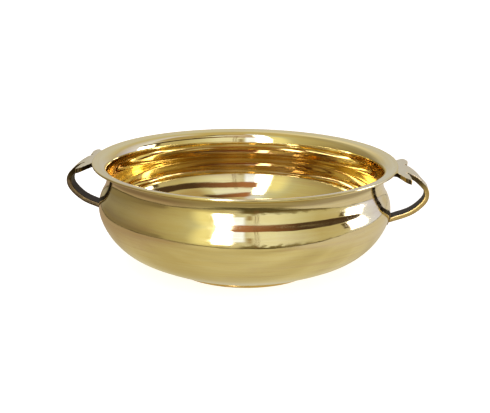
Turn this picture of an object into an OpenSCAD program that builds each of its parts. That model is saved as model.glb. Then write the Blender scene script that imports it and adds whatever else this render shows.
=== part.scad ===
// Brass urli: a wide, shallow bowl with a flared lip, a low foot ring and two strap handles.
// Millimetres. The origin is the centre of the foot's underside, +Z is up, handles lie along X.

/* [Bowl] */
// Outside diameter of the flared lip
rim_d = 254; // [248:1:260]
// Thickness of the turned wall
wall = 1.8; // [1.4:0.1:2.4]
// Radius that rounds the lip's two outer edges
edge_r = 0.8; // [0.4:0.1:1]
// Slope of the lip's underside, in degrees
lip_under_slope = 4.5; // [3:0.5:6]
// Slope of the lip's top, in degrees
lip_top_slope = 8; // [7:0.5:9]

/* [Bowl curves] */
// Radius of the bend between the flat base and the underside
base_bend_r = 15; // [12:1:18]
// Radius of the shallow underside curve
under_r = 352; // [320:8:384]
// Radius of the belly curve
belly_r = 52.5; // [51:0.5:54]
// Radius of the tight curve at the shoulder
shoulder_r = 25.5; // [24.5:0.1:26.5]
// Radius of the hollow curve at the neck
neck_r = 20; // [19:0.5:22]
// Height of the straight stretch between the neck's hollow and the lip's flare
neck_rise = 2.4; // [2:0.1:3]
// Radius of the hollow curve that turns the neck out into the lip
flare_r = 7; // [6.5:0.1:7.5]

/* [Foot] */
// Outside diameter of the foot ring
foot_d = 120.5; // [119:0.5:124]
// Width of the foot ring, from its inner to its outer edge
foot_w = 8; // [6:0.5:10]
// Height of the flat base above the surface that the foot stands on
base_gap = 0.8; // [0.6:0.1:1.5]

/* [Handles] */
// Thickness of the handle's metal
strap_t = 4; // [3.5:0.1:4.4]
// Width of the strap below its leaf-shaped top
strap_w = 14; // [12:0.5:16]
// Radius of the bend where the leaf turns down into the strap
crown_r = 27; // [25:1:28]
// Radius of the strap's tightest, outermost bend
tip_r = 12.2; // [11:0.1:13]
// Radius of the bend that brings the strap back to the belly
return_r = 37; // [35:1:39]
// Straight stretch between those two bends on the right handle, which is bent by hand
right_fall = 7; // [4:0.5:8]
// The same stretch on the left handle
left_fall = 4; // [4:0.5:8]
// Half the width of the leaf where it comes out from under the lip
leaf_root = 22; // [20:0.5:24]
// Half the width of the leaf across its two ears
leaf_half = 35; // [33:0.5:36]
// Radius of the two rounded ear tips of the leaf
ear_r = 3; // [2:0.5:4]
// Radius of the nick between each ear and the strap
nick_r = 2; // [1.5:0.1:2.5]

/* [Brazing] */
// Thickness of the brazing metal left around each joint
braze_t = 1.2; // [0.8:0.1:1.5]

/* [Hidden] */
$fn = 96;

// Largest distance between a curve and the straight steps that draw it
chord_error = 0.03;

// Headings, in degrees from straight outwards, at which each curve of the wall ends
base_end = 20;
under_end = 26;
belly_end = 71;
shoulder_end = 122;
neck_end = 82;

rim_r = rim_d / 2;
foot_r = foot_d / 2;
base_flat_r = foot_r - base_bend_r * sin(base_end);

// A route is a list of steps. A step [radius, heading] is an arc that turns to that heading, left
// with a positive radius and right with a negative one, and [0, length] is a straight stretch.
function arc_steps(r, sweep) =
    max(2, ceil(abs(sweep) / (2 * acos(1 - chord_error / abs(r)))));
function arc_end(p, r, from, to) = p + r * [sin(to) - sin(from), cos(from) - cos(to)];
function arc_points(p, r, from, to, n) =
    [for (i = [1 : n]) arc_end(p, r, from, from + (to - from) * i / n)];
function straight(p, heading, length) = [p + length * [cos(heading), sin(heading)]];
function step_points(p, heading, step) =
    step[0] == 0
        ? straight(p, heading, step[1])
        : arc_points(p, step[0], heading, step[1], arc_steps(step[0], step[1] - heading));
function route(p, heading, steps, i = 0) =
    i == len(steps)
        ? [p]
        : let (
            points = step_points(p, heading, steps[i]),
            next = steps[i][0] == 0 ? heading : steps[i][1]
        )
        concat(
            [p],
            [for (k = [0 : 1 : len(points) - 2]) points[k]],
            route(last(points), next, steps, i + 1)
        );
function last(list) = list[len(list) - 1];
function reversed(list) = [for (i = [len(list) - 1 : -1 : 0]) list[i]];

// The wall's section from the edge of its flat base up to the lip, moved inwards by depth
function wall_section(depth, top_slope) = route(
    [base_flat_r, base_gap + depth], 0,
    [
        [base_bend_r - depth, base_end],
        [under_r - depth, under_end],
        [belly_r - depth, belly_end],
        [shoulder_r - depth, shoulder_end],
        [-neck_r - depth, neck_end],
        [0, neck_rise],
        [-flare_r - depth, top_slope]
    ]
);

outside = wall_section(0, lip_under_slope);
inside = wall_section(wall, lip_top_slope);

// The lip's underside runs straight from the flare to the start of the rounded edge
lip_run = (rim_r - edge_r * (1 - sin(lip_under_slope)) - last(outside)[0]) / cos(lip_under_slope);
lip_under = route(last(outside), lip_under_slope, [[0, lip_run], [edge_r, 90]]);

// The lip's top runs straight from the inside of the flare to the upper rounded edge
lip_top_run = (rim_r - edge_r * (1 + sin(lip_top_slope)) - last(inside)[0]) / cos(lip_top_slope);
lip_top_end = last(straight(last(inside), lip_top_slope, lip_top_run));
lip_edge_top = reversed(route(lip_top_end, lip_top_slope, [[-edge_r, -90]]));
rim_top = lip_top_end[1] + edge_r * (1 - cos(lip_top_slope));
lip_bottom = last(lip_under)[1] - edge_r;

// Handle: side view as a route along the strap's outer face, from under the lip to the belly.
// Both ends run on into the bowl, and are cut to its surface.
leaf_slope = -9;
leaf_tuck = 16;
leaf_reach = 3;
crown_end = -46;
tip_end = -126;
return_end = -160;
belly_tuck = 17;
leaf_start = [rim_r - leaf_tuck, lip_bottom - leaf_tuck * tan(leaf_slope)];
function strap_side(depth, fall) = route(
    leaf_start + depth * [sin(leaf_slope), -cos(leaf_slope)], leaf_slope,
    [
        [0, leaf_tuck + leaf_reach],
        [-crown_r + depth, crown_end],
        [0, fall],
        [-tip_r + depth, tip_end],
        [-return_r + depth, return_end],
        [0, belly_tuck]
    ]
);

// Handle: plan view of one side of the leaf. Its edge comes out from under the lip, flares to the
// ear, turns back along the ear's end to the nick, and tapers down to the strap.
root_inset = 2;
leaf_flare = 62;
ear_end = -96;
nick_v = 15;
taper_end = -35;
taper_r = 14;
strap_overlap = 10;
leaf_depth = 20;
leaf_in = rim_r - leaf_tuck - root_inset;
root = [rim_r - root_inset, leaf_root];
flare_run = (leaf_half - leaf_root - ear_r * (1 - cos(leaf_flare))) / sin(leaf_flare);
ear_side = route(root, leaf_flare, [[0, flare_run], [-ear_r, ear_end]]);
ear_run = (last(ear_side)[1] - nick_v) / sin(-ear_end);
nick = last(straight(last(ear_side), ear_end, ear_run));
taper_run = (nick[1] - strap_w / 2 - taper_r * (1 - cos(taper_end))) / sin(-taper_end);
taper_side = route(nick, taper_end, [[0, taper_run], [taper_r, 0], [0, strap_overlap]]);
leaf_side = concat([[leaf_in, leaf_root]], ear_side, taper_side);

// Headroom above the lip in every tool that cuts the handles to the bowl
headroom = 5;

// The solid that the bowl would be if it were heaped full, grown by a margin
module bowl_envelope(margin = 0) {
    side = wall_section(-margin, lip_under_slope);
    edge = [[rim_r + margin, lip_bottom - margin], [rim_r + margin, rim_top + headroom]];
    rotate_extrude() polygon(concat([[0, base_gap - margin]], side, edge, [[0, rim_top + headroom]]));
}

module bowl_body() {
    section = concat(
        [[0, base_gap]], outside, lip_under, lip_edge_top, reversed(inside),
        [[0, base_gap + wall]]
    );
    rotate_extrude() polygon(section);
}

module bowl() {
    color("goldenrod") bowl_body();
}

// A flat ring whose top follows the bend of the bowl's base
module foot_ring() {
    bend = arc_points(
        [base_flat_r, base_gap], base_bend_r, 0, base_end, arc_steps(base_bend_r, base_end)
    );
    section = concat(
        [[foot_r - foot_w, 0], [foot_r, 0]], reversed(bend),
        [[base_flat_r, base_gap], [foot_r - foot_w, base_gap]]
    );
    color("darkgoldenrod") rotate_extrude() polygon(section);
}

// The strap's side view as a solid: grow widens its face on both sides by that much
module strap_prism(width, fall, grow = 0) {
    side = concat(strap_side(-grow, fall), reversed(strap_side(strap_t + grow, fall)));
    rotate([90, 0, 0]) linear_extrude(width, center = true) polygon(side);
}

module leaf_block() {
    other_side = [for (p = reversed(leaf_side)) [p[0], -p[1]]];
    translate([0, 0, rim_top - leaf_depth]) linear_extrude(leaf_depth) difference() {
        polygon(concat(leaf_side, other_side));
        for (side = [-1, 1]) translate([nick[0], side * nick[1]]) circle(nick_r);
    }
}

// A block that holds everything above the leaf's depth, to tell the leaf from the strap below it
module above_leaf_depth() {
    translate([0, -rim_r / 2, rim_top - leaf_depth]) cube([2 * rim_r, rim_r, leaf_depth]);
}

// The handle before it is cut to fit the bowl
module handle_blank(fall) {
    intersection() {
        strap_prism(rim_r, fall);
        leaf_block();
    }
    difference() {
        strap_prism(strap_w, fall);
        above_leaf_depth();
    }
}

module handle(fall) {
    color("darkkhaki") difference() {
        handle_blank(fall);
        bowl_envelope();
    }
}

// Brazing metal on the neck and on the lip's underside, along the leaf's root
module lip_braze(fall) {
    color("peru") difference() {
        intersection() {
            bowl_envelope(braze_t);
            strap_prism(2 * (leaf_root + braze_t), fall, braze_t);
            cylinder(r = rim_r - 3 * edge_r, h = lip_bottom + edge_r);
            above_leaf_depth();
        }
        handle_blank(fall);
        bowl_envelope();
    }
}

// Brazing metal on the belly, all round the strap's lower end
module belly_braze(fall) {
    color("peru") difference() {
        intersection() {
            bowl_envelope(braze_t);
            strap_prism(strap_w + 2 * braze_t, fall, braze_t);
        }
        above_leaf_depth();
        handle_blank(fall);
        bowl_envelope();
    }
}

module handle_right() {
    handle(right_fall);
}

module handle_left() {
    rotate(180) handle(left_fall);
}

module lip_braze_right() {
    lip_braze(right_fall);
}

module lip_braze_left() {
    rotate(180) lip_braze(left_fall);
}

module belly_braze_right() {
    belly_braze(right_fall);
}

module belly_braze_left() {
    rotate(180) belly_braze(left_fall);
}

bowl();
foot_ring();
handle_right();
handle_left();
lip_braze_right();
lip_braze_left();
belly_braze_right();
belly_braze_left();
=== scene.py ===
import math

import bmesh
import bpy
from mathutils import Matrix, Vector, noise


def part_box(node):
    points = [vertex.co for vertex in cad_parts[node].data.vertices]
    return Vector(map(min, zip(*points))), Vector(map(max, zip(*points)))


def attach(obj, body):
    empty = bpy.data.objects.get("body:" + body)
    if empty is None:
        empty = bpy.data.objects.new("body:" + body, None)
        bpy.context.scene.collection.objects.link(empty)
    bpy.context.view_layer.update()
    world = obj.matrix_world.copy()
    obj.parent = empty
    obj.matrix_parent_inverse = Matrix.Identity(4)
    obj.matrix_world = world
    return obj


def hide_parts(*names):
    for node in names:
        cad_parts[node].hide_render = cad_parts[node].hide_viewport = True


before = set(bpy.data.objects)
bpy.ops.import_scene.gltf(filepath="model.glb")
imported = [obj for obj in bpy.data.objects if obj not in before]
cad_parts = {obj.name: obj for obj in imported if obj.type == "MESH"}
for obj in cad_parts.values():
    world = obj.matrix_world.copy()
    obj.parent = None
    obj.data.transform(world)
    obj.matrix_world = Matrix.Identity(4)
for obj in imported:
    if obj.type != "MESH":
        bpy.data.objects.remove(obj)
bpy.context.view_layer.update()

# Brass urli: a polished bowl on a low foot, with two strap handles brazed on at opposite sides.
# Everything is in metres, in the CAD frame: +Z up, handles along X, the foot's underside at z = 0.

MM = 0.001

# ---------------------------------------------------------------------------------------------
# Shape of the bowl's wall, the same driving dimensions as the CAD model's
# ---------------------------------------------------------------------------------------------
RIM_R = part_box("bowl")[1][0]
RIM_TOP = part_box("bowl")[1][2]
FOOT_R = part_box("foot_ring")[1][0]
WALL = 1.8 * MM
EDGE_R = 0.8 * MM
LIP_UNDER_SLOPE = 4.5
LIP_TOP_SLOPE = 8
BASE_BEND_R = 15 * MM
UNDER_R = 352 * MM
BELLY_R = 52.5 * MM
SHOULDER_R = 25.5 * MM
NECK_R = 20 * MM
NECK_RISE = 2.4 * MM
FLARE_R = 7 * MM
BASE_END, UNDER_END, BELLY_END, SHOULDER_END, NECK_END = 20, 26, 71, 122, 82
FOOT_W = 8 * MM
BASE_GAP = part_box("bowl")[0][2]
BASE_FLAT_R = FOOT_R - BASE_BEND_R * math.sin(math.radians(BASE_END))

# How finely the bowl and the foot are turned: steps along their sections, rings across the flat base
# and points round the axis
BOWL_STEP = 1.2 * MM
FOOT_STEP = 0.6 * MM
BASE_RINGS = 30
TURNS = 240
# Height of the broad turning rings, and how far the bowl is out of round
RING_HEIGHT = 0.02 * MM
OUT_OF_ROUND = 0.05 * MM


def heading_vector(heading):
    return Vector((math.cos(math.radians(heading)), math.sin(math.radians(heading))))


def arc_point(start, radius, before, after):
    """Where an arc ends as its heading goes from before to after. A positive radius turns left."""
    a, b = math.radians(before), math.radians(after)
    return start + radius * Vector((math.sin(b) - math.sin(a), math.cos(a) - math.cos(b)))


def route(start, heading, steps, spacing):
    """Points along a route. A step (radius, heading) is an arc and (0, length) is straight."""
    points = [start]
    for radius, value in steps:
        if radius == 0:
            count = max(1, math.ceil(value / spacing))
            new = [start + heading_vector(heading) * (value * i / count) for i in range(1, count + 1)]
        else:
            length = abs(radius * math.radians(value - heading))
            count = max(6, math.ceil(length / spacing))
            new = [arc_point(start, radius, heading, heading + (value - heading) * i / count)
                   for i in range(1, count + 1)]
            heading = value
        points += new
        start = new[-1]
    return points


def wall_section(depth, top_slope, spacing):
    return route(Vector((BASE_FLAT_R, BASE_GAP + depth)), 0, [
        (BASE_BEND_R - depth, BASE_END),
        (UNDER_R - depth, UNDER_END),
        (BELLY_R - depth, BELLY_END),
        (SHOULDER_R - depth, SHOULDER_END),
        (-NECK_R - depth, NECK_END),
        (0, NECK_RISE),
        (-FLARE_R - depth, top_slope),
    ], spacing)


def bowl_section(spacing):
    """The bowl's closed section as (radius, height) points, starting on the axis under the base."""
    outside = wall_section(0, LIP_UNDER_SLOPE, spacing)
    inside = wall_section(WALL, LIP_TOP_SLOPE, spacing)
    under, top = math.radians(LIP_UNDER_SLOPE), math.radians(LIP_TOP_SLOPE)
    under_run = (RIM_R - EDGE_R * (1 - math.sin(under)) - outside[-1].x) / math.cos(under)
    top_run = (RIM_R - EDGE_R * (1 + math.sin(top)) - inside[-1].x) / math.cos(top)
    lip_under = route(outside[-1], LIP_UNDER_SLOPE, [(0, under_run), (EDGE_R, 90)], spacing)
    lip_top = route(inside[-1], LIP_TOP_SLOPE, [(0, top_run), (-EDGE_R, -90)], spacing)
    reach = [BASE_FLAT_R * i / BASE_RINGS for i in range(BASE_RINGS)]
    base = [Vector((r, BASE_GAP)) for r in reach]
    floor = [Vector((r, BASE_GAP + WALL)) for r in reach]
    return base + outside + lip_under[1:] + lip_top[:0:-1] + inside[::-1] + floor[::-1]


def foot_section(spacing):
    """The foot ring's closed section, with a flat underside and a top that follows the base's bend."""
    soft = 0.35 * MM
    bend = route(Vector((BASE_FLAT_R, BASE_GAP)), 0, [(BASE_BEND_R, BASE_END)], spacing)
    crest = bend[-1]
    inner = FOOT_R - FOOT_W
    low = [Vector((inner, BASE_GAP)), Vector((inner, soft)), Vector((inner + soft, 0))]
    under = [Vector((inner + soft + (FOOT_W - 2 * soft) * i / 8, 0)) for i in range(1, 9)]
    edge = [Vector((FOOT_R - soft * (1 - math.sin(a)), soft * (1 - math.cos(a))))
            for a in (math.radians(15 * k) for k in range(1, 7))]
    side = [edge[-1].lerp(crest, t) for t in (0.25, 0.5, 0.75)]
    return low + under + edge + side + bend[::-1]


def turned_wobble(angle, distance):
    """How far the wall stands off its true curve: broad turning rings and a slight out-of-roundness."""
    east, north = math.cos(angle), math.sin(angle)
    rings = noise.noise(Vector((east * 0.8, north * 0.8, distance / (9 * MM))))
    swell = noise.noise(Vector((east * 1.2, north * 1.2, 7 + distance / (60 * MM))))
    return RING_HEIGHT * rings + OUT_OF_ROUND * swell


def lathe(name, section, turns, wobble=None):
    """A solid of revolution. wobble(angle, distance) moves a point along the section's normal."""
    bm = bmesh.new()
    distance = 0
    rings = []
    for i, point in enumerate(section):
        if i:
            distance += (point - section[i - 1]).length
        before, after = section[max(0, i - 1)], section[min(len(section) - 1, i + 1)]
        along = after - before
        normal = Vector((along.y, -along.x)).normalized()
        if point.x < 1e-7:
            rings.append([bm.verts.new((0, 0, point.y))])
            continue
        ring = []
        for k in range(turns):
            angle = 2 * math.pi * k / turns
            shift = wobble(angle, distance) if wobble else 0
            p = point + normal * shift
            ring.append(bm.verts.new((p.x * math.cos(angle), p.x * math.sin(angle), p.y)))
        rings.append(ring)
    closed = section[0].x > 1e-7
    pairs = list(zip(rings, rings[1:])) + ([(rings[-1], rings[0])] if closed else [])
    for low, high in pairs:
        for k in range(turns):
            here = [low[k % len(low)], low[(k + 1) % len(low)]]
            above = [high[(k + 1) % len(high)], high[k % len(high)]]
            bm.faces.new(dict.fromkeys(here + above))
    for face in bm.faces:
        face.smooth = True
    bmesh.ops.recalc_face_normals(bm, faces=bm.faces)
    mesh = bpy.data.meshes.new(name)
    bm.to_mesh(mesh)
    bm.free()
    piece = bpy.data.objects.new(name, mesh)
    bpy.context.collection.objects.link(piece)
    return piece


bowl = lathe("bowl_body", bowl_section(BOWL_STEP), TURNS, turned_wobble)
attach(bowl, "root")
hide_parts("bowl")

foot = lathe("foot_band", foot_section(FOOT_STEP), TURNS)
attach(foot, "root")
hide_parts("foot_ring")

# ---------------------------------------------------------------------------------------------
# Handles and brazing, worked over from the CAD solids
# ---------------------------------------------------------------------------------------------
def worked_copy(node, name, voxel, rounding, roughness, grain, seed):
    """A copy of a CAD solid with its edges rounded as by filing and its faces dented a little.

    voxel is the size of the new mesh's cells, rounding how often it is smoothed, roughness how deep
    the dents are and grain how wide.
    """
    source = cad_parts[node]
    piece = bpy.data.objects.new(name, source.data.copy())
    bpy.context.collection.objects.link(piece)
    remesh = piece.modifiers.new("remesh", "REMESH")
    remesh.mode = "VOXEL"
    remesh.voxel_size = voxel
    relax = piece.modifiers.new("relax", "SMOOTH")
    relax.factor = 0.5
    relax.iterations = rounding
    finished = piece.evaluated_get(bpy.context.evaluated_depsgraph_get())
    mesh = bpy.data.meshes.new_from_object(finished)
    piece.modifiers.clear()
    piece.data = mesh
    mesh.name = name
    offset = Vector((seed, seed * 2, seed * 3))
    normals = [v.normal.copy() for v in mesh.vertices]
    for vertex, normal in zip(mesh.vertices, normals):
        vertex.co += normal * roughness * min(0.0, noise.noise(vertex.co / grain + offset))
    mesh.shade_smooth()
    mesh.materials.clear()
    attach(piece, "root")
    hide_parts(node)
    return piece


handles = {}
brazes = []
for seed, side in enumerate(("right", "left"), start=1):
    handles[side] = worked_copy(f"handle_{side}", f"strap_handle_{side}",
                                voxel=0.42 * MM, rounding=6, roughness=0.16 * MM,
                                grain=9 * MM, seed=seed)
    for place in ("lip", "belly"):
        bead = worked_copy(f"{place}_braze_{side}", f"{place}_bead_{side}",
                           voxel=0.3 * MM, rounding=3, roughness=0.5 * MM,
                           grain=1.5 * MM, seed=seed + 7)
        brazes.append(bead)


# ---------------------------------------------------------------------------------------------
# Materials
# ---------------------------------------------------------------------------------------------
class Nodes:
    """A short way to write a shader's node tree."""

    def __init__(self, tree):
        self.tree = tree

    def add(self, kind, inputs=None, **settings):
        node = self.tree.nodes.new(kind)
        for key, value in settings.items():
            setattr(node, key, value)
        for key, value in (inputs or {}).items():
            self.put(node, key, value)
        return node

    def put(self, node, key, value):
        if isinstance(value, bpy.types.NodeSocket):
            self.tree.links.new(value, node.inputs[key])
        else:
            node.inputs[key].default_value = value

    def math(self, operation, *values, clamp=False):
        node = self.add("ShaderNodeMath", dict(enumerate(values)), operation=operation, use_clamp=clamp)
        return node.outputs[0]

    def vector(self, operation, *values):
        node = self.add("ShaderNodeVectorMath", dict(enumerate(values)), operation=operation)
        return node.outputs["Value" if operation in ("DOT_PRODUCT", "LENGTH") else "Vector"]

    def ramp(self, value, low, high, to_low=0.0, to_high=1.0, smooth=False):
        node = self.add("ShaderNodeMapRange", {0: value, 1: low, 2: high, 3: to_low, 4: to_high})
        node.interpolation_type = "SMOOTHSTEP" if smooth else "LINEAR"
        return node.outputs[0]

    def mix(self, factor, a, b):
        node = self.add("ShaderNodeMix", data_type="RGBA")
        self.put(node, 0, factor)
        self.put(node, 6, a)
        self.put(node, 7, b)
        return node.outputs[2]

    def noise(self, vector, scale, detail=2.0, rough=0.5):
        node = self.add("ShaderNodeTexNoise",
                        {"Vector": vector, "Scale": scale, "Detail": detail, "Roughness": rough})
        return node.outputs[0]

    def split(self, vector):
        return self.add("ShaderNodeSeparateXYZ", {0: vector}).outputs

    def join(self, x, y, z):
        return self.add("ShaderNodeCombineXYZ", {0: x, 1: y, 2: z}).outputs[0]

    def bump(self, height, strength, distance, normal=None):
        node = self.add("ShaderNodeBump",
                        {"Height": height, "Strength": strength, "Distance": distance})
        if normal is not None:
            self.put(node, "Normal", normal)
        return node.outputs[0]


# Heights of the hollow inside, below the lip
UNDER_LIP = RIM_TOP - 22 * MM, RIM_TOP - 6 * MM
# Colours of the metal. Each of the first two is light, deep and stained.
BOWL_BRASS = (0.97, 0.87, 0.50, 1.0), (0.94, 0.80, 0.40, 1.0), (0.84, 0.67, 0.42, 1.0)
FOOT_BRASS = (0.86, 0.66, 0.28, 1.0), (0.72, 0.50, 0.18, 1.0), (0.40, 0.24, 0.10, 1.0)
# Painted shade for a band round the outside just under the lip
NECK_SHADE = (0.42, 0.33, 0.15, 1.0)
# Painted shade for the hollow inside the shoulder, mostly at its back
SHOULDER_SHADE = (0.40, 0.26, 0.17, 1.0)
# Painted shade for the two ends of the inside, next to the handles
END_SHADE = (0.38, 0.28, 0.21, 1.0)
# Colours of the straps and of the brazing, each from the dark to the light of its streaks
# Of the straps' colours, the pale pair is painted light on faces that look up, the olive pair painted
# shade under the strap and on its sides, and the darkest pair painted shadow inside the loop and by the
# rim
STRAP_GOLD = (0.45, 0.31, 0.09, 1.0), (0.68, 0.52, 0.20, 1.0)
STRAP_LIT = (0.88, 0.81, 0.60, 1.0), (0.97, 0.92, 0.74, 1.0)
STRAP_SHADED = (0.015, 0.010, 0.005, 1.0), (0.10, 0.072, 0.034, 1.0)
STRAP_SHADOW = (0.005, 0.003, 0.002, 1.0), (0.065, 0.042, 0.025, 1.0)
BRAZE = (0.05, 0.03, 0.015, 1.0), (0.42, 0.27, 0.11, 1.0)


def empty_material(name):
    material = bpy.data.materials.new(name)
    material.use_nodes = True
    material.node_tree.nodes.clear()
    return material, Nodes(material.node_tree)


def new_metal(name):
    material, nodes = empty_material(name)
    surface = nodes.add("ShaderNodeBsdfPrincipled", {"Metallic": 1.0})
    output = nodes.add("ShaderNodeOutputMaterial")
    nodes.tree.links.new(surface.outputs[0], output.inputs[0])
    return material, nodes, surface


def turned_brass(name, light, deep, stain, shine, dull, streak, neck=None, hollow_shoulder=None):
    """Polished brass with the fine rings that turning and buffing leave round the bowl's axis.

    shine and dull are the least and the greatest roughness, and streak is how strong the rings are.
    neck is the lowest and highest height of the band round the outside under the lip that is darkened
    as painted shade, and hollow_shoulder those of the hollow inside the shoulder, browned as painted
    shade, more at the back than at the front. The two ends of the inside, below the lip and next to the
    handles, are browned as painted shade too.
    """
    material, nodes, surface = new_metal(name)
    place = nodes.add("ShaderNodeTexCoord").outputs["Object"]
    x, y, z = nodes.split(place)
    radius = nodes.vector("LENGTH", nodes.join(x, y, 0.0))
    across = nodes.math("ADD", z, nodes.math("MULTIPLY", radius, 0.8))
    around = nodes.vector("NORMALIZE", nodes.join(x, y, 0.0))
    turn_x, turn_y, _ = nodes.split(around)

    def rings(turns, per_metre, detail, rough=0.5):
        """Noise drawn out round the axis: it changes with turns on the way round, per_metre across."""
        spot = nodes.join(nodes.math("MULTIPLY", turn_x, turns), nodes.math("MULTIPLY", turn_y, turns),
                          nodes.math("MULTIPLY", across, per_metre))
        return nodes.noise(spot, 1.0, detail, rough)

    broad = rings(1.5, 90.0, 3.0)
    lines = rings(2.2, 420.0, 4.0, 0.65)
    fine = rings(4.0, 1300.0, 3.0)
    scuffs = nodes.noise(place, 60.0, 6.0, 0.6)
    cloud = nodes.noise(place, 16.0, 5.0, 0.6)
    tone = nodes.math("ADD", nodes.math("MULTIPLY", lines, 0.6), nodes.math("MULTIPLY", cloud, 0.4))
    colour = nodes.mix(nodes.ramp(tone, 0.38, 0.62), deep, light)
    tarnish = nodes.math("ADD", nodes.math("MULTIPLY", rings(1.2, 200.0, 4.0, 0.6), 0.5),
                         nodes.math("MULTIPLY", cloud, 0.5))
    colour = nodes.mix(nodes.ramp(tarnish, 0.50, 0.68, 0.0, 0.75, True), colour, stain)
    normal = nodes.add("ShaderNodeNewGeometry").outputs["Normal"]
    outward = nodes.vector("DOT_PRODUCT", normal, around)
    _, _, upward = nodes.split(normal)
    inside = nodes.math("MAXIMUM", nodes.ramp(outward, -0.03, 0.03, 1.0, 0.0),
                        nodes.ramp(upward, 0.75, 0.85))

    def zone(heights, blur):
        """A band between two heights, with edges that follow the turning lines."""
        low, high = heights
        ragged = nodes.math("ADD", z, nodes.ramp(lines, 0.3, 0.7, -0.8 * MM, 0.8 * MM))
        return nodes.math("MULTIPLY", nodes.ramp(ragged, low - blur, low + blur, 0.0, 1.0, True),
                          nodes.ramp(ragged, high - blur, high + blur, 1.0, 0.0, True))

    # Painted shade: a dark band round the outside just under the lip
    if neck:
        neck_shade = nodes.math("MULTIPLY", zone(neck, 1.5 * MM), nodes.ramp(outward, 0.5, 0.8, 0.0, 0.8))
        colour = nodes.mix(neck_shade, colour, NECK_SHADE)
    # Painted shade: the hollow inside the shoulder is browned, more at the back than at the front
    if hollow_shoulder:
        back_inside = nodes.math("MULTIPLY", inside, nodes.ramp(turn_y, 0.5, 0.85, 0.1, 0.9))
        brown = nodes.math("MULTIPLY", zone(hollow_shoulder, 6 * MM), back_inside)
        colour = nodes.mix(brown, colour, SHOULDER_SHADE)
        # Painted shade: the two ends of the inside, below the lip and next to the handles, are browned
        by_handles = nodes.ramp(nodes.math("ABSOLUTE", turn_x), 0.90, 0.98, 0.0, 0.8, True)
        ends = nodes.math("MULTIPLY", zone(UNDER_LIP, 3 * MM),
                          nodes.math("MULTIPLY", inside, by_handles))
        colour = nodes.mix(ends, colour, END_SHADE)
    nodes.put(surface, "Base Color", colour)
    wear = nodes.math("ADD", nodes.math("MULTIPLY", lines, 0.65), nodes.math("MULTIPLY", scuffs, 0.35))
    outside_finish = nodes.ramp(wear, 0.36, 0.66, shine, dull, True)
    inside_finish = nodes.ramp(wear, 0.36, 0.66, shine, shine + (dull - shine) * 0.35, True)
    finish = nodes.add("ShaderNodeMix", {0: inside, 2: outside_finish, 3: inside_finish})
    nodes.put(surface, "Roughness", finish.outputs[0])
    ridges = nodes.bump(fine, streak, 0.012 * MM)
    grooves = nodes.bump(lines, streak, 0.05 * MM, ridges)
    nodes.put(surface, "Normal", nodes.bump(broad, streak, 0.12 * MM, grooves))
    return material


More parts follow.
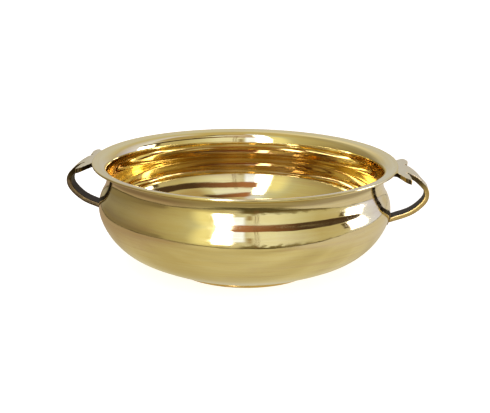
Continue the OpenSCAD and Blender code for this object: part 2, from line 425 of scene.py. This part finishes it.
def handle_brass(name, loop_centre, side_shade, shadow_reach):
    """Matt brass with light and shade painted in: pale on top as if lit from above, shaded underneath,
    and dark painted shadow inside the loop and in the corners.

    side_shade is how much painted shade the strap's two side faces get high up and low down, and
    shadow_reach is how far out from the rim the painted shadow on the leaf's edges reaches.
    """
    material, nodes, surface = new_metal(name)
    place = nodes.add("ShaderNodeTexCoord").outputs["Object"]
    normal = nodes.add("ShaderNodeNewGeometry").outputs["Normal"]
    x, y, z = nodes.split(place)
    _, side_y, upward = nodes.split(normal)
    arm = nodes.vector("MULTIPLY", nodes.vector("SUBTRACT", place, loop_centre), (1.0, 0.0, 1.0))
    round_loop = nodes.vector("NORMALIZE", arm)
    outward = nodes.vector("DOT_PRODUCT", round_loop, normal)
    reach = nodes.vector("LENGTH", arm)
    loop_x, _, loop_z = nodes.split(round_loop)
    across = nodes.math("ADD", nodes.math("MULTIPLY", reach, 900.0), nodes.math("MULTIPLY", y, 700.0))
    along = nodes.join(nodes.math("MULTIPLY", loop_x, 2.5), nodes.math("MULTIPLY", loop_z, 2.5), across)
    brushed = nodes.noise(along, 1.0, 4.0, 0.6)
    blotch = nodes.noise(place, 260.0, 5.0, 0.6)
    side = nodes.ramp(nodes.math("ABSOLUTE", side_y), 0.55, 0.85, 0.0, 1.0, True)
    # Painted shadow on the faces inside the loop
    facing_out = nodes.math("ADD", outward, nodes.math("MULTIPLY", blotch, 0.35))
    inner = nodes.ramp(facing_out, -0.1, 0.25, 1.0, 0.0, True)
    inner = nodes.math("MULTIPLY", inner, nodes.math("SUBTRACT", 1.0, side))
    # Painted shade on the strap's two side faces, set apart for high up and low down
    high, low = side_shade
    shaded_sides = nodes.ramp(z, RIM_TOP - 22 * MM, RIM_TOP - 10 * MM, low, high, True)
    shaded_sides = nodes.math("ADD", shaded_sides, nodes.ramp(brushed, 0.3, 0.7, -0.22, 0.22))
    shaded_sides = nodes.math("MULTIPLY", side, shaded_sides, clamp=True)
    # Painted shadow on the leaf's edges close to the rim, on faces that don't look up
    radius = nodes.vector("LENGTH", nodes.join(x, y, 0.0))
    leaf_shadow = nodes.ramp(nodes.math("ADD", radius, nodes.ramp(blotch, 0.3, 0.7, -1.5 * MM, 1.5 * MM)),
                       RIM_R + shadow_reach - MM, RIM_R + shadow_reach + MM, 1.0, 0.0, True)
    leaf_shadow = nodes.math("MULTIPLY", leaf_shadow, nodes.ramp(upward, 0.3, 0.6, 1.0, 0.0, True))
    leaf_shadow = nodes.math("MULTIPLY", leaf_shadow, nodes.ramp(z, RIM_TOP - 20 * MM, RIM_TOP - 12 * MM))
    # All the painted shadow, inside the loop and by the rim
    painted_shade = nodes.math("MAXIMUM", inner, leaf_shadow, clamp=True)
    gold = nodes.mix(brushed, *STRAP_GOLD)
    lit_top = nodes.mix(brushed, *STRAP_LIT)
    strong_streaks = nodes.ramp(brushed, 0.3, 0.7)
    shaded = nodes.mix(strong_streaks, *STRAP_SHADED)
    dark = nodes.mix(strong_streaks, *STRAP_SHADOW)
    # Painted light on faces that look up, painted shade on faces that look down and on the shaded sides
    colour = nodes.mix(nodes.ramp(upward, 0.25, 0.7, 0.0, 1.0, True), gold, lit_top)
    colour = nodes.mix(nodes.ramp(upward, -0.8, -0.4, 0.7, 0.0, True), colour, shaded)
    colour = nodes.mix(shaded_sides, colour, shaded)
    # The darkest colour goes where the painted shadow is
    nodes.put(surface, "Base Color", nodes.mix(painted_shade, colour, dark))
    nodes.put(surface, "Roughness", nodes.ramp(painted_shade, 0.0, 1.0, 0.30, 0.5))
    dents = nodes.bump(blotch, 0.15, 0.1 * MM)
    nodes.put(surface, "Normal", nodes.bump(brushed, 0.3, 0.03 * MM, dents))
    return material


def braze_metal(name):
    material, nodes, surface = new_metal(name)
    place = nodes.add("ShaderNodeTexCoord").outputs["Object"]
    lumps = nodes.noise(place, 900.0, 5.0)
    nodes.put(surface, "Base Color", nodes.mix(lumps, *BRAZE))
    nodes.put(surface, "Roughness", nodes.ramp(lumps, 0.3, 0.7, 0.3, 0.65))
    nodes.put(surface, "Normal", nodes.bump(lumps, 0.6, 0.2 * MM))
    return material


bowl.data.materials.append(turned_brass(
    "polished_brass", *BOWL_BRASS, shine=0.03, dull=0.15, streak=0.5,
    neck=(RIM_TOP - 10 * MM, RIM_TOP - 4 * MM), hollow_shoulder=(50 * MM, 78 * MM)))
foot.data.materials.append(turned_brass("foot_brass", *FOOT_BRASS, shine=0.12, dull=0.28, streak=0.4))
# Middle of each handle's loop
LOOP_HEIGHT = RIM_TOP - 23 * MM
LOOP_OUT = RIM_R + 6 * MM
# Each handle's painted shade on the sides and painted shadow by the rim
handles["right"].data.materials.append(handle_brass(
    "handle_brass_right", (LOOP_OUT, 0.0, LOOP_HEIGHT), side_shade=(0.95, 0.05), shadow_reach=3 * MM))
handles["left"].data.materials.append(handle_brass(
    "handle_brass_left", (-LOOP_OUT, 0.0, LOOP_HEIGHT), side_shade=(1.1, 0.95), shadow_reach=9 * MM))
bead_metal = braze_metal("braze_metal")
for bead in brazes:
    bead.data.materials.append(bead_metal)

# ---------------------------------------------------------------------------------------------
# Camera
# ---------------------------------------------------------------------------------------------
CAMERA_YAW = 5
CAMERA_ELEVATION = 15.87
CAMERA_DISTANCE = 0.889
CAMERA_ROLL = 0.69
TARGET_BELOW_RIM = 41 * MM
SENSOR_WIDTH = 36
FOCAL_LENGTH = 77.2


def add_camera():
    data = bpy.data.cameras.new("camera")
    data.sensor_width = SENSOR_WIDTH
    data.lens = FOCAL_LENGTH
    data.clip_end = 50
    camera = bpy.data.objects.new("camera", data)
    bpy.context.collection.objects.link(camera)
    yaw, up = math.radians(CAMERA_YAW), math.radians(CAMERA_ELEVATION)
    away = Vector((math.sin(yaw) * math.cos(up), -math.cos(yaw) * math.cos(up), math.sin(up)))
    target = Vector((0.3 * MM, 0, RIM_TOP - TARGET_BELOW_RIM))
    turn = away.to_track_quat("Z", "Y").to_matrix().to_4x4()
    camera.matrix_world = (Matrix.Translation(target + away * CAMERA_DISTANCE) @ turn
                           @ Matrix.Rotation(math.radians(CAMERA_ROLL), 4, "Z"))
    bpy.context.scene.camera = camera


add_camera()

# ---------------------------------------------------------------------------------------------
# Studio: a pale floor, and the room that the brass mirrors
# ---------------------------------------------------------------------------------------------
def add_stage(name, corners, material, **hidden):
    mesh = bpy.data.meshes.new(name)
    mesh.from_pydata(corners, [], [range(len(corners))])
    mesh.materials.append(material)
    piece = bpy.data.objects.new(name, mesh)
    bpy.context.collection.objects.link(piece)
    for ray in hidden:
        setattr(piece, "visible_" + ray, False)


def glow_material(name, colour, strength, diffuse=None):
    material, nodes = empty_material(name)
    glow = nodes.add("ShaderNodeEmission", {"Color": colour, "Strength": strength}).outputs[0]
    if diffuse:
        matt = nodes.add("ShaderNodeBsdfDiffuse", {"Color": diffuse}).outputs[0]
        both = nodes.add("ShaderNodeAddShader", {0: glow, 1: matt})
        glow = both.outputs[0]
    output = nodes.add("ShaderNodeOutputMaterial")
    nodes.tree.links.new(glow, output.inputs[0])
    return material


FLOOR = 6
FLOOR_GLOW = 0.72
FLOOR_PAINT = (0.8, 0.8, 0.8, 1)
add_stage("floor", [(-FLOOR, -FLOOR, 0), (FLOOR, -FLOOR, 0), (FLOOR, FLOOR, 0), (-FLOOR, FLOOR, 0)],
          glow_material("floor_paint", (1, 1, 1, 1), FLOOR_GLOW, FLOOR_PAINT), glossy=True)

# The sheet of paper that the bowl stands on, which only the brass mirrors. It lies a little askew.
PAPER_CORNERS = [
    (-0.29, 0.60), (-0.29, -0.08), (-0.25, -0.16), (-0.22, -0.21), (-0.10, -0.245),
    (0.04, -0.242), (0.25, -0.19), (0.60, -0.11), (0.60, 0.60),
]
PAPER_DROP = -0.5 * MM
PAPER_CREAM = (0.49, 0.42, 0.26, 1.0), (0.66, 0.60, 0.42, 1.0)
PAPER_LEFT = (0.385, 0.29, 0.21, 1.0)
PAPER_RIGHT = (0.62, 0.56, 0.50, 1.0)
# Colour of the painted shadow along the paper's edge
PAPER_EDGE_SHADOW = (0.10, 0.08, 0.04, 1)


def paper_outline(grow, drop):
    """The sheet's corners, pushed outwards from the bowl's axis by grow."""
    return [(*(Vector(corner) * (1 + grow)), drop) for corner in PAPER_CORNERS]


def paper_material():
    """Cream paper, a little pink to both sides, with soft light streaks across it."""
    material, nodes = empty_material("paper_paint")
    place = nodes.add("ShaderNodeTexCoord").outputs["Object"]
    x, y, _ = nodes.split(place)
    streak = nodes.noise(nodes.vector("MULTIPLY", place, (4.0, 14.0, 1.0)), 1.0, 3.0)
    colour = nodes.mix(nodes.ramp(streak, 0.35, 0.65), *PAPER_CREAM)
    colour = nodes.mix(nodes.ramp(x, -0.20, -0.06, 1.0, 0.0, True), colour, PAPER_LEFT)
    colour = nodes.mix(nodes.ramp(x, 0.10, 0.18, 0.0, 1.0, True), colour, PAPER_RIGHT)
    glow = nodes.add("ShaderNodeEmission", {"Color": colour, "Strength": 1.0}).outputs[0]
    output = nodes.add("ShaderNodeOutputMaterial")
    nodes.tree.links.new(glow, output.inputs[0])
    return material


add_stage("paper", paper_outline(0, PAPER_DROP), paper_material(),
          camera=True, diffuse=True, shadow=True)
# Painted shadow along the paper's edge: a dark sheet a little larger than the paper, just under it,
# that only the brass mirrors
add_stage("paper_edge_shadow", paper_outline(0.10, PAPER_DROP * 2),
          glow_material("paper_edge_shadow_paint", PAPER_EDGE_SHADOW, 1.0),
          camera=True, diffuse=True, shadow=True)

# The room as the brass sees it: bearing in degrees from the front, positive to the right, with the
# wall's colour low down and high up at that bearing
ROOM = [
    (-180, (0.58, 0.59, 0.73), (0.62, 0.63, 0.70)),
    (-150, (0.32, 0.29, 0.24), (0.86, 0.83, 0.84)),
    (-130, (0.20, 0.17, 0.13), (0.44, 0.41, 0.36)),
    (-105, (0.22, 0.19, 0.14), (0.40, 0.36, 0.27)),
    (-75, (0.29, 0.24, 0.15), (0.49, 0.43, 0.28)),
    (-50, (0.45, 0.40, 0.25), (0.55, 0.51, 0.35)),
    (-32, (0.53, 0.48, 0.31), (0.62, 0.65, 0.60)),
    (-10, (0.60, 0.54, 0.38), (0.66, 0.68, 0.70)),
    (5, (0.70, 0.70, 0.66), (0.62, 0.62, 0.64)),
    (15, (0.86, 0.88, 0.90), (0.89, 0.93, 0.98)),
    (30, (0.84, 0.86, 0.86), (0.86, 0.90, 0.92)),
    (48, (0.66, 0.66, 0.58), (0.66, 0.66, 0.58)),
    (65, (0.54, 0.49, 0.34), (0.54, 0.49, 0.34)),
    (88, (0.59, 0.55, 0.44), (0.52, 0.46, 0.34)),
    (110, (0.80, 0.88, 1.50), (0.80, 0.86, 1.30)),
    (130, (0.71, 0.77, 1.40), (0.66, 0.68, 0.95)),
    (150, (0.59, 0.55, 0.55), (0.57, 0.52, 0.40)),
    (180, (0.58, 0.59, 0.73), (0.62, 0.63, 0.70)),
]
# Heights, in degrees above the horizon, at which those low and high colours are reached
LOW_UP, HIGH_UP = -12.0, 45.0
# Bearing that the upper beam runs square to
BEAM_BEARING = 25
WINDOW = (8.5, 8.5, 11.5, 1.0)
CEILING = (0.56, 0.48, 0.30, 1.0)
BEAM_BROWN = (0.40, 0.18, 0.11, 1.0), (0.07, 0.042, 0.028, 1.0)
JUMBLE = (0.11, 0.085, 0.04, 1.0), (0.34, 0.29, 0.18, 1.0)
CORD = (0.22, 0.12, 0.07, 1.0)
BELOW = (0.31, 0.27, 0.20, 1.0)
ROOM_TINT = (0.95, 0.91, 0.78)


def add_room():
    world = bpy.data.worlds.new("room")
    bpy.context.scene.world = world
    world.use_nodes = True
    world.node_tree.nodes.clear()
    nodes = Nodes(world.node_tree)
    way = nodes.add("ShaderNodeTexCoord").outputs["Generated"]
    x, y, z = nodes.split(way)
    to_degrees = 180 / math.pi
    forward = nodes.math("MULTIPLY", y, -1.0)
    bearing = nodes.math("MULTIPLY", nodes.math("ARCTAN2", x, forward), to_degrees)
    height = nodes.math("MULTIPLY", nodes.math("ARCSINE", z), to_degrees)

    def wall(row):
        strip = nodes.add("ShaderNodeValToRGB", {0: nodes.ramp(bearing, -180.0, 180.0)})
        stops = strip.color_ramp.elements
        for place, *_ in ROOM[1:-1]:
            stops.new((place + 180) / 360)
        for stop, entry in zip(stops, ROOM):
            stop.position = (entry[0] + 180) / 360
            stop.color = (*entry[row], 1)
        return strip.outputs[0]

    shade = nodes.mix(nodes.ramp(height, LOW_UP, HIGH_UP), wall(1), wall(2))
    face = (math.sin(math.radians(BEAM_BEARING)), -math.cos(math.radians(BEAM_BEARING)), 0.0)
    slope = nodes.math("DIVIDE", z, nodes.math("MAXIMUM", nodes.vector("DOT_PRODUCT", way, face), 0.02))

    def panel(shade, bearings, heights, colour, soft=2.0, up=height, soft_up=None):
        """Lay a soft-edged rectangle of colour over shade, between two bearings and two heights."""
        def between(value, ends, blur):
            low, high = ends
            return nodes.math("MULTIPLY", nodes.ramp(value, low - blur, low + blur, 0.0, 1.0, True),
                              nodes.ramp(value, high - blur, high + blur, 1.0, 0.0, True))

        soft_up = soft if soft_up is None else soft_up
        mask = nodes.math("MULTIPLY", between(bearing, bearings, soft), between(up, heights, soft_up))
        return nodes.mix(mask, shade, colour)

    ceiling = nodes.ramp(height, 58.0, 75.0, 0.0, 1.0, True)
    shade = nodes.mix(ceiling, shade, CEILING)
    # A darker wainscot on the left, and a jumble of dark things beyond the paper on the right
    shade = panel(shade, (-135.0, -60.0), (-20.0, -6.0), (0.24, 0.20, 0.13, 1.0), 5.0, soft_up=3.0)
    jumble = nodes.noise(nodes.vector("MULTIPLY", way, (11.0, 11.0, 6.0)), 1.0, 5.0, 0.7)
    ragged = nodes.math("ADD", height, nodes.ramp(jumble, 0.3, 0.7, -9.0, 9.0))
    dark = nodes.mix(nodes.ramp(height, -24.0, -6.0), *JUMBLE)
    shade = panel(shade, (1.0, 84.0), (-40.0, -12.0), dark, 5.0, up=ragged, soft_up=1.5)
    # Brown wall above the beam, to the right
    shade = panel(shade, (52.0, 108.0), (40.0, 62.0), (0.44, 0.35, 0.22, 1.0), 8.0, soft_up=5.0)
    # Pale wall between the beams, and daylight on the ceiling above the window
    shade = panel(shade, (-6.0, 42.0), (48.0, 59.0), (0.90, 0.98, 1.2, 1.0))
    shade = panel(shade, (-24.0, 4.0), (60.0, 80.0), (0.76, 0.85, 1.3, 1.0), 8.0)
    # Warm glow to the left of the window, its side pane and the window itself
    shade = panel(shade, (-34.0, -16.0), (-16.0, 50.0), (0.95, 0.92, 0.62, 1.0), 7.0)
    shade = panel(shade, (-8.0, 5.0), (0.0, 38.0), (1.1, 1.3, 2.3, 1.0), 1.5)
    shade = panel(shade, (-18.5, -5.0), (-11.0, 60.0), WINDOW, 1.5)
    # Second window, far to the right, with a dark post beside it
    shade = panel(shade, (93.0, 112.0), (-1.0, 19.0), WINDOW, 1.5)
    shade = panel(shade, (86.0, 92.0), (6.0, 20.0), (0.12, 0.09, 0.05, 1.0), 0.8)
    # Two brown beams. in_beam runs from 0 to 1 over the lower one, which falls away to the right.
    fall = nodes.ramp(bearing, 25.0, 105.0)
    low_edge = nodes.math("ADD", nodes.math("MULTIPLY", fall, -15.0), 34.0)
    in_beam = nodes.math("DIVIDE", nodes.math("SUBTRACT", height, low_edge),
                         nodes.math("ADD", nodes.math("MULTIPLY", fall, -2.5), 12.5))
    brown = nodes.mix(nodes.ramp(bearing, 5.0, 55.0), *BEAM_BROWN)
    shade = panel(shade, (-9.0, 112.0), (0.0, 1.0), brown, 3.0, up=in_beam, soft_up=0.06)
    shade = panel(shade, (-3.0, 58.0), (1.65, 2.6), brown, 5.0, up=slope, soft_up=0.08)
    # Curtain cords and a narrow shadow
    for place in (13.2, 15.3):
        shade = panel(shade, (place, place + 0.7), (-30.0, 50.0), CORD, 0.5)
    shade = panel(shade, (7.0, 11.0), (-8.0, 14.0), (0.38, 0.30, 0.20, 1.0), 2.0)
    shade = nodes.mix(nodes.ramp(height, -40.0, -33.0, 1.0, 0.0, True), shade, BELOW)
    shade = nodes.vector("MULTIPLY", shade, ROOM_TINT)
    seen = nodes.add("ShaderNodeBackground", {"Color": shade, "Strength": 1.0}).outputs[0]
    white = nodes.add("ShaderNodeBackground", {"Color": (1, 1, 1, 1), "Strength": 1.0}).outputs[0]
    camera_ray = nodes.add("ShaderNodeLightPath").outputs["Is Camera Ray"]
    both = nodes.add("ShaderNodeMixShader", {0: camera_ray, 1: seen, 2: white}).outputs[0]
    output = nodes.add("ShaderNodeOutputWorld")
    nodes.tree.links.new(both, output.inputs[0])


add_room()
bpy.context.scene.view_settings.view_transform = "Standard"
# Light is mirrored many times at the two ends of the inside before it reaches the eye
MIRRORINGS = 24
bpy.context.scene.cycles.glossy_bounces = MIRRORINGS
bpy.context.scene.cycles.max_bounces = MIRRORINGS
